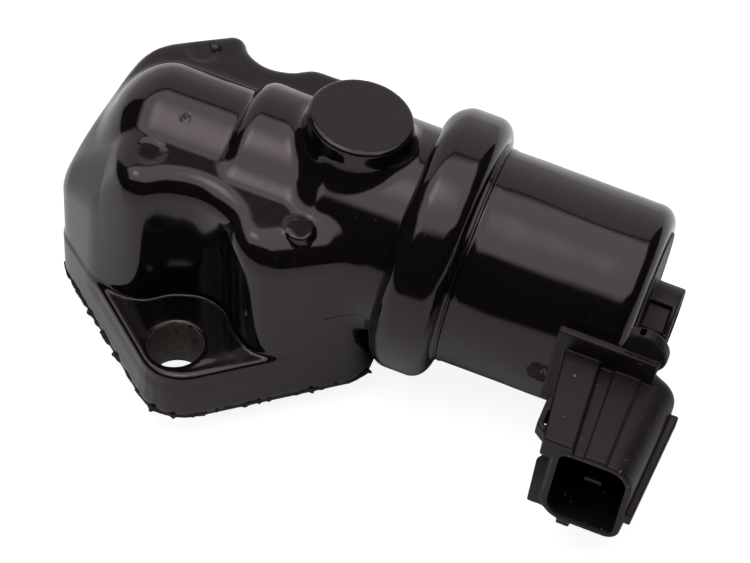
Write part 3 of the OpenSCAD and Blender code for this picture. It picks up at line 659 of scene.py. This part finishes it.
# %% [markdown]
# ## The solenoid can
# The can and its folded ring are turned from one profile: pairs of radius and place along the bore.
# The fold of the ring wanders a little, as a rolled edge does.

# %% Can and ring
CAN_R, CAN_END, CAN_CORNER = 18.0, 34.1, 3.0
CAN_WALL, MOUTH_R, MOUTH_EDGE = 1.2, 14.4, 0.15
# The ring's outer radius, the radii of its folds on the casting's and the can's side, half the flat between
RING_R, FOLD_CASTING_R, FOLD_CAN_R, FOLD_FLAT = 22.1, 4.0, 3.0, 1.75
LATHE_SIDES = 320


def arc(centre_r, centre_s, radius, start, end, steps):
    """Profile points on an arc; angles in degrees, 0 pointing outwards and 90 towards the connector."""
    return [(centre_r + radius * math.cos(math.radians(a)), centre_s + radius * math.sin(math.radians(a)))
            for a in np.linspace(start, end, steps)]


# The rolled edge against the casting, and the ring
profile = [(17.4, -3.6), (17.4, -5.4)]
profile += arc(17.7, -5.45, 0.3, 180, 270, 5)
profile += arc(RING_R - FOLD_CASTING_R, -FOLD_FLAT, FOLD_CASTING_R, -90, 0, 24)
profile += arc(RING_R - FOLD_CAN_R, FOLD_FLAT, FOLD_CAN_R, 0, 84, 20)
# The groove beside the ring, with the faint step that the crimping tool left on the wall
profile += [(18.75, 4.55), (18.5, 4.35), (18.42, 4.5)]
profile += arc(18.15, 4.85, 0.4, 30, 110, 6)
profile += [(17.98, 5.4), (18.04, 5.55), (18.16, 5.8), (18.1, 6.1), (18.0, 6.4)]
# The wall, the corner, the mouth and the inside
profile += [(CAN_R, place) for place in np.arange(7.0, 30.9, 0.8)]
profile += arc(CAN_R - CAN_CORNER, CAN_END - CAN_CORNER, CAN_CORNER, 2, 84, 22)
profile += arc(MOUTH_R + MOUTH_EDGE, CAN_END - 0.17, MOUTH_EDGE, 85, 180, 6)
profile += [(MOUTH_R, CAN_END - CAN_WALL), (16.0, 32.85), (16.75, 32.0), (16.75, 8.0), (16.75, 1.0)]
profile = np.array(profile)

# %% Turn the can
turn = np.arange(LATHE_SIDES) * 2 * math.pi / LATHE_SIDES
radius = np.repeat(profile[None, :, 0], LATHE_SIDES, 0)
place = np.repeat(profile[None, :, 1], LATHE_SIDES, 0)
around = np.stack([np.cos(turn)[:, None] * radius, np.sin(turn)[:, None] * radius, place], -1)
on_fold = np.clip((-place - 1.0) / 3.0, 0, 1)
place = place + on_fold * 0.22 * ripple(around, 13.0, 21)
on_wall = np.clip((place - 5.0) / 4.0, 0, 1) * np.clip((31 - place) / 3.0, 0, 1) * (radius > 17)
radius = radius + on_wall * 0.035 * ripple(around, 9.0, 4)
radius = radius - (1 - on_wall) * 0.03 * np.abs(ripple(around, 6.0, 9))
rise, reach = np.cos(turn)[:, None] * radius, np.sin(turn)[:, None] * radius
can_points = np.stack([
    JOINT[0] + place * math.cos(TILT) + rise * math.sin(TILT), -reach + JOINT[1],
    JOINT[2] - place * math.sin(TILT) + rise * math.cos(TILT)], -1)
rows = len(profile)
can_faces = []
for i in range(LATHE_SIDES):
    here, there = i * rows, (i + 1) % LATHE_SIDES * rows
    for k in range(rows):
        above = (k + 1) % rows
        can_faces.append((here + k, there + k, there + above, here + above))
can_mesh = bpy.data.meshes.new("can_shell")
can_mesh.from_pydata((can_points.reshape(-1, 3) * MM).tolist(), [], can_faces)
can_shell = bpy.data.objects.new("can_shell", can_mesh)
bpy.context.scene.collection.objects.link(can_shell)


# %% Cut the can's notch
def bore_matrix():
    """Bore-frame millimetres (rise, reach, run) to row metres."""
    up = Vector((math.sin(TILT), 0, math.cos(TILT)))
    along = Vector((math.cos(TILT), 0, -math.sin(TILT)))
    turn_part = Matrix((up, Vector((0, -1, 0)), along)).transposed().to_4x4()
    return Matrix.Translation(Vector(JOINT) * MM) @ turn_part @ Matrix.Scale(MM, 4)


# The notch that the connector's bridge passes through: its lowest and highest rise, reach and run
NOTCH_LOW, NOTCH_HIGH = (-8.1, 9, 30.9), (8.1, 24, 40)
BOX_FACES = [(0, 1, 3, 2), (4, 6, 7, 5), (0, 4, 5, 1), (2, 3, 7, 6), (0, 2, 6, 4), (1, 5, 7, 3)]
notch_mesh = bpy.data.meshes.new("notch_cutter")
notch_mesh.from_pydata(list(itertools.product(*zip(NOTCH_LOW, NOTCH_HIGH))), [], BOX_FACES)
notch = bpy.data.objects.new("notch_cutter", notch_mesh)
bpy.context.scene.collection.objects.link(notch)
notch.data.transform(bore_matrix())
cutting = can_shell.modifiers.new("notch", "BOOLEAN")
cutting.operation = "DIFFERENCE"
cutting.solver = "EXACT"
cutting.object = notch
cutting.use_self = True
graph = bpy.context.evaluated_depsgraph_get()
can_shell.data = bpy.data.meshes.new_from_object(can_shell.evaluated_get(graph))
can_shell.modifiers.clear()
bpy.data.objects.remove(notch)
can_shell.data.shade_smooth()
can_shell.data.set_sharp_from_angle(angle=math.radians(50))
can_shell.data.materials.clear()
can_shell.data.materials.append(finishes["can_paint"])
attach(can_shell, "housing")
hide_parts("solenoid_can")
print("can_shell faces:", len(can_shell.data.polygons))

# %% [markdown]
# ## The return spring
# Through the inlet port the spring shows behind the poppet: a round wire swept along a spiral, built at one
# length. It is closest to the dome's end of the chamber; the real spring shortens as the plunger slides
# towards it.

# %% Return spring
WIRE_R = 0.4
SPRING_LENGTH = SPRING_TO - SPRING_FROM
SPRING = {"Turns": 6.0, "Coil radius": 4.6, "Length": SPRING_LENGTH - 2 * WIRE_R, "Wire radius": WIRE_R}
SPIRAL_STEPS, WIRE_SIDES = 40, 14

sweep = bpy.data.node_groups.new("spring_sweep", "GeometryNodeTree")
for label in SPRING:
    sweep.interface.new_socket(label, in_out="INPUT", socket_type="NodeSocketFloat")
sweep.interface.new_socket("Spring", in_out="OUTPUT", socket_type="NodeSocketGeometry")
inputs = sweep.nodes.new("NodeGroupInput")
spiral = sweep.nodes.new("GeometryNodeCurveSpiral")
wire = sweep.nodes.new("GeometryNodeCurvePrimitiveCircle")
tube = sweep.nodes.new("GeometryNodeCurveToMesh")
realize = sweep.nodes.new("GeometryNodeRealizeInstances")
painted = sweep.nodes.new("GeometryNodeSetMaterial")
output = sweep.nodes.new("NodeGroupOutput")
spiral.inputs["Resolution"].default_value = SPIRAL_STEPS
wire.inputs["Resolution"].default_value = WIRE_SIDES
tube.inputs["Fill Caps"].default_value = True
painted.inputs["Material"].default_value = finishes["spring_steel"]
for source, target in (
        (inputs.outputs["Turns"], spiral.inputs["Rotations"]),
        (inputs.outputs["Coil radius"], spiral.inputs["Start Radius"]),
        (inputs.outputs["Coil radius"], spiral.inputs["End Radius"]),
        (inputs.outputs["Length"], spiral.inputs["Height"]),
        (inputs.outputs["Wire radius"], wire.inputs["Radius"]),
        (spiral.outputs[0], tube.inputs["Curve"]), (wire.outputs["Curve"], tube.inputs["Profile Curve"]),
        (tube.outputs[0], realize.inputs[0]), (realize.outputs[0], painted.inputs["Geometry"]),
        (painted.outputs[0], output.inputs[0])):
    sweep.links.new(source, target)

spring = bpy.data.objects.new("spring_wire", bpy.data.meshes.new("spring_wire"))
bpy.context.scene.collection.objects.link(spring)
sweeping = spring.modifiers.new("sweep", "NODES")
sweeping.node_group = sweep
for item in sweep.interface.items_tree:
    if item.in_out == "INPUT":
        sweeping[item.identifier] = SPRING[item.name]
graph = bpy.context.evaluated_depsgraph_get()
spring.data = bpy.data.meshes.new_from_object(spring.evaluated_get(graph))
spring.modifiers.clear()
spring.data.transform(bore_matrix() @ Matrix.Translation((0, 0, SPRING_FROM + WIRE_R)))
spring.data.shade_smooth()
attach(spring, "housing")
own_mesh(spring)
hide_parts("return_spring")
print("spring faces:", len(spring.data.polygons), "length (mm):", round(SPRING_LENGTH, 2))

# %% [markdown]
# ## The connector
# The moulding is one field too: the shell with two small and two large corners, its rails and fins,
# the collar plate over the can, the round bump behind it and the vent stub on the can's end.

# %% Connector sizes
PLUG_AT, PLUG_HALF_W, PLUG_HALF_H = 36.6, 6.7, 8.6
PLUG_MOUTH, PLUG_FLOOR, PLUG_WALL = 37.6, 24.0, 1.1
LARGE_CORNER, SMALL_CORNER = 4.4, 2.4
TAPER_WIDTH, TAPER_SHIFT, TAPER_LENGTH = 0.2, 0.35, 17.0
COLLAR_TOP = 19.5
STUB_R, STUB_BORE_R, STUB_RISE, STUB_END = 5.8, 4.3, 1.0, 39.3
FACET_TURN = math.radians(24)
# Boxes as lowest and highest rise, reach and run, and the radius of their edges
RAILS = (
    ((5.6, 19.4, 27.8), (9.9, PLUG_MOUTH, 32.7), 0.3),
    ((8.0, 19.3, 34.7), (9.0, PLUG_MOUTH, 38.3), 0.25),
    ((-9.7, 35.0, 33.3), (-7.5, PLUG_MOUTH - 0.1, 35.5), 0.25))
# The right fin's two walls, whose rise is measured from the fin's own slanted line
FIN_WALLS = (((-0.6, 20.3, 40.5), (0.6, 37.4, 44.5), 0.25), ((-1.8, 20.3, 43.4), (0.6, 37.4, 44.5), 0.25))
FIN_START, FIN_RISE, FIN_SLANT = 20.2, 4.2, 6.2 / 17.2


# %% Connector field
def sharp_block(a, b, c, low, high):
    """An upright box in three coordinates."""
    sides = [between(v, l, h) for v, l, h in zip((a, b, c), low, high)]
    return np.maximum(np.maximum(*sides[:2]), sides[2])


def soft_block(a, b, c, low, high, r):
    """A box with rounded edges."""
    middle, half = (np.array(low) + high) / 2, (np.array(high) - low) / 2 - r
    q = [np.abs(v - m) - h for v, m, h in zip((a, b, c), middle, half)]
    outside = np.sqrt(sum(np.maximum(v, 0) ** 2 for v in q))
    return outside + np.minimum(np.maximum(np.maximum(q[0], q[1]), q[2]), 0) - r


def shell_section(run, rise, inset):
    """The shell's outline: an upright box with two large and two small corners."""
    x, y = run - PLUG_AT, rise
    r = np.where(x * y > 0, LARGE_CORNER, SMALL_CORNER) - inset
    across, up = np.abs(x) - PLUG_HALF_W + inset + r, np.abs(y) - PLUG_HALF_H + inset + r
    return np.minimum(np.maximum(across, up), 0) + np.hypot(np.maximum(across, 0), np.maximum(up, 0)) - r


def connector(p):
    """The whole moulding; b, u and s are a place's rise, reach and run."""
    b, u, s = bore_frame(p)
    from_axis = np.hypot(b, u)
    cap = meet(from_axis - 14.3, np.abs(s - 32.7) - 1.7, 0.2)
    stub = meet(np.hypot(b - STUB_RISE, u) - STUB_R, between(s, 31, STUB_END), 0.3)
    body = join(cap, stub, 0.3)
    bridge = soft_block(b, u, s, (-7.8, 10.0, 31.0), (7.8, COLLAR_TOP, 36.6), 0.3)
    body = join(body, bridge, 0.2)
    web = soft_block(b, u, s, (-3.0, 4.0, 33.4), (3.0, COLLAR_TOP, 37.0), 0.3)
    body = join(body, web, 0.3)
    bump = meet(np.hypot(b - 13.6, s - 36.9) - 4.3, between(u, 16.4, 18.4), 0.4)
    body = join(body, np.maximum(bump, 34.3 - s), 0.2)
    collar = soft_block(b, u, s, (-4.0, 18.1, 23.7), (13.4, COLLAR_TOP, 40.2), 0.25)
    body = join(body, collar, 0.2)
    # The shell is a little wider at the collar than at its mouth.
    taper = np.clip((PLUG_MOUTH - u) / TAPER_LENGTH, 0, 1.1)
    t = PLUG_AT + (s - PLUG_AT + TAPER_SHIFT * taper) / (1 + TAPER_WIDTH * taper)
    round_start = 0.4 + 2.6 * np.clip((t - PLUG_AT) / 4.0, 0, 1)
    start = 18.9 - 3.2 * np.clip((t - 34.0) / 5.0, 0, 1)
    shell = meet(shell_section(t, b, 0), start - u, round_start)
    shell = meet(shell, u - PLUG_MOUTH, 0.3)
    fin_b = b - FIN_RISE + FIN_SLANT * (u - FIN_START)
    left_fin = meet(meet(t - 31.0, -7.0 - b, 0.3), ((27.8 - t) * 6.0 + (b + 7.0) * 2.6) / 6.54, 0.45)
    ribs = meet(left_fin, between(u, 29.0, 37.3), 0.2)
    for rise, walls in ((b, RAILS), (fin_b, FIN_WALLS)):
        for box in walls:
            ribs = np.minimum(ribs, soft_block(rise, u, t, *box))
    shell = join(shell, ribs, 0.3)
    # The small open bracket on the shell's left side
    bracket = soft_block(b, u, s, (5.9, 28.1, 25.8), (8.5, 36.5, 29.0), 0.25)
    bracket = meet(bracket, (26.2 - s) * 0.6 + (u - 34.5) * 0.8, 0.25)
    window = soft_block(b, u, s, (3.0, 29.4, 26.8), (12.0, 33.8, 28.6), 0.2)
    shell = join(shell, np.maximum(bracket, -window), 0.15)
    shell = np.maximum(shell, -soft_block(b, u, s, (7.0, 28.1, 27.0), (9.3, 34.0, 28.9), 0.2))
    body = join(body, shell, 0.25)
    socket = meet(shell_section(t, b, PLUG_WALL), PLUG_FLOOR - u, 0.3)
    body = cut(body, socket, 0.25)
    bore = meet(from_axis - STUB_BORE_R, 34.4 - s, 0.2)
    # The flat facet on the stub faces a turned direction
    cos, sin = math.cos(FACET_TURN), math.sin(FACET_TURN)
    facet = sharp_block(b * cos + u * sin, u * cos - b * sin, s, (5.6, -1.2, 34.7), (9.5, 3.8, 38.4))
    return np.maximum(body, -np.minimum(bore, facet))


connector_shell = skin("connector_shell", connector, (56.5, -38.6, -1.6), (84.0, 15.5, 30.5), 0.27,
                       "connector_plastic", "housing")
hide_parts("connector_housing")

# %% [markdown]
# ## The studio
# A pale floor, a large softbox overhead and a backdrop, both for the paint to mirror. The floor and
# the world look white to the camera, and darker to everything else.

# %% Studio sizes
FLOOR_Z = cad_low.z - 0.0002
FLOOR_REACH, FLOOR_WHITE, FLOOR_GLOW, GLOW_SHARE = 3.0, 0.9, 1.5, 0.6
OVERHEAD_HEIGHT = 0.9
SOFTBOX_CAMERA_SIDE, SOFTBOX_BACK_SIDE = 57, 57
SOFTBOX_WIDTH, SOFTBOX_LEVEL = 1.9, 1.75
FADE = 180
HOT_SPOT, HOT_RADIUS, HOT_LEVEL = (-130, -20), 330, 1.5
BACKDROP_TOP, BACKDROP_AT, BACKDROP_HALF_W, BACKDROP_GLOW = 52.5, 1.4, 1.6, 0.7
BACKDROP_TINT = (1, 0.96, 0.98, 1)
ROOM_LEVEL = 0.02
toward = Vector((TO_CAMERA.x, TO_CAMERA.y, 0)).normalized()
across = Vector((-toward.y, toward.x, 0))
centre = Vector((0.03, 0, 0))
front_reach = OVERHEAD_HEIGHT / math.tan(math.radians(SOFTBOX_CAMERA_SIDE))
back_reach = OVERHEAD_HEIGHT / math.tan(math.radians(SOFTBOX_BACK_SIDE))
half_length = (front_reach + back_reach + FADE * MM) / 2
middle = (back_reach - front_reach) / 2


# %% Studio helpers
def sheet(name, corners, material):
    """One flat piece of the studio."""
    made = bpy.data.meshes.new(name)
    made.from_pydata(corners, [], [(0, 1, 2, 3)])
    made.materials.append(material)
    piece = bpy.data.objects.new(name, made)
    bpy.context.scene.collection.objects.link(piece)


def empty_material(name):
    """A material with nothing but an output node: the material, its tree and that node."""
    made = bpy.data.materials.new(name)
    made.use_nodes = True
    made.node_tree.nodes.clear()
    return made, made.node_tree, made.node_tree.nodes.new("ShaderNodeOutputMaterial")


# %% Studio materials
def cloth():
    """Lit cloth: it fades out at its edges, and is brightest round a hot spot."""
    s = Shader("softbox_cloth")
    x, y = s.place("X") - centre.x / MM, s.place("Y")
    along = s.math("ABSOLUTE", x * toward.x + y * toward.y + middle / MM)
    aside = s.math("ABSOLUTE", x * across.x + y * across.y)
    lit = (1 - along.above(half_length / MM - FADE, half_length / MM)) * (1 - aside.above(600, 950))
    hot_x, hot_y = x - HOT_SPOT[0], y - HOT_SPOT[1]
    hot = 1 - s.math("SQRT", hot_x * hot_x + hot_y * hot_y).above(0, HOT_RADIUS)
    return s.set(Base_Color=(0, 0, 0), Specular_IOR_Level=0.0, Roughness=1.0,
                 Emission_Color=lit * (hot * HOT_LEVEL + 1), Emission_Strength=SOFTBOX_LEVEL)


def backdrop_paper():
    """Paper that glows evenly."""
    made, tree, out = empty_material("backdrop_paper")
    glow = tree.nodes.new("ShaderNodeEmission")
    glow.inputs["Color"].default_value = BACKDROP_TINT
    glow.inputs["Strength"].default_value = BACKDROP_GLOW
    tree.links.new(glow.outputs[0], out.inputs[0])
    return made


def floor_paper():
    """White paper that also glows to the camera, so that it has no visible edge."""
    made, tree, out = empty_material("studio_paper")
    diffuse = tree.nodes.new("ShaderNodeBsdfDiffuse")
    diffuse.inputs["Color"].default_value = (FLOOR_WHITE, FLOOR_WHITE, FLOOR_WHITE, 1)
    glow = tree.nodes.new("ShaderNodeEmission")
    glow.inputs["Strength"].default_value = FLOOR_GLOW
    path = tree.nodes.new("ShaderNodeLightPath")
    share = tree.nodes.new("ShaderNodeMath")
    share.operation = "MULTIPLY"
    share.inputs[1].default_value = GLOW_SHARE
    blend = tree.nodes.new("ShaderNodeMixShader")
    for source, target in (
            (path.outputs["Is Camera Ray"], share.inputs[0]), (share.outputs[0], blend.inputs[0]),
            (diffuse.outputs[0], blend.inputs[1]), (glow.outputs[0], blend.inputs[2]),
            (blend.outputs[0], out.inputs[0])):
        tree.links.new(source, target)
    return made


# %% Studio pieces
corners = [(-1, -1), (-1, 1), (1, 1), (1, -1)]
overhead = centre - toward * middle + Vector((0, 0, OVERHEAD_HEIGHT))
sheet("overhead_softbox",
      [overhead + toward * half_length * i + across * (SOFTBOX_WIDTH / 2) * k for i, k in corners], cloth())
# The backdrop stands behind the object, and stops just under the softbox's far edge
foot = centre - toward * BACKDROP_AT + Vector((0, 0, FLOOR_Z))
tall = Vector((0, 0, BACKDROP_AT * math.tan(math.radians(BACKDROP_TOP))))
side = across * BACKDROP_HALF_W
sheet("backdrop", [foot - side, foot + side, foot + side + tall, foot - side + tall], backdrop_paper())
sheet("floor", [(FLOOR_REACH * k, FLOOR_REACH * i, FLOOR_Z) for i, k in corners], floor_paper())
print("floor level (mm):", round(FLOOR_Z / MM, 2))

# %% World
world = bpy.data.worlds.new("studio")
bpy.context.scene.world = world
world.use_nodes = True
sky = world.node_tree
sky_path = sky.nodes.new("ShaderNodeLightPath")
colour = sky.nodes.new("ShaderNodeMix")
colour.data_type = "RGBA"
colour.inputs[6].default_value = (ROOM_LEVEL, ROOM_LEVEL, ROOM_LEVEL, 1)
colour.inputs[7].default_value = (1, 1, 1, 1)
sky.links.new(sky_path.outputs["Is Camera Ray"], colour.inputs[0])
sky.links.new(colour.outputs[2], sky.nodes["Background"].inputs[0])
bpy.context.scene.view_settings.view_transform = "Standard"
print("view transform:", bpy.context.scene.view_settings.view_transform)
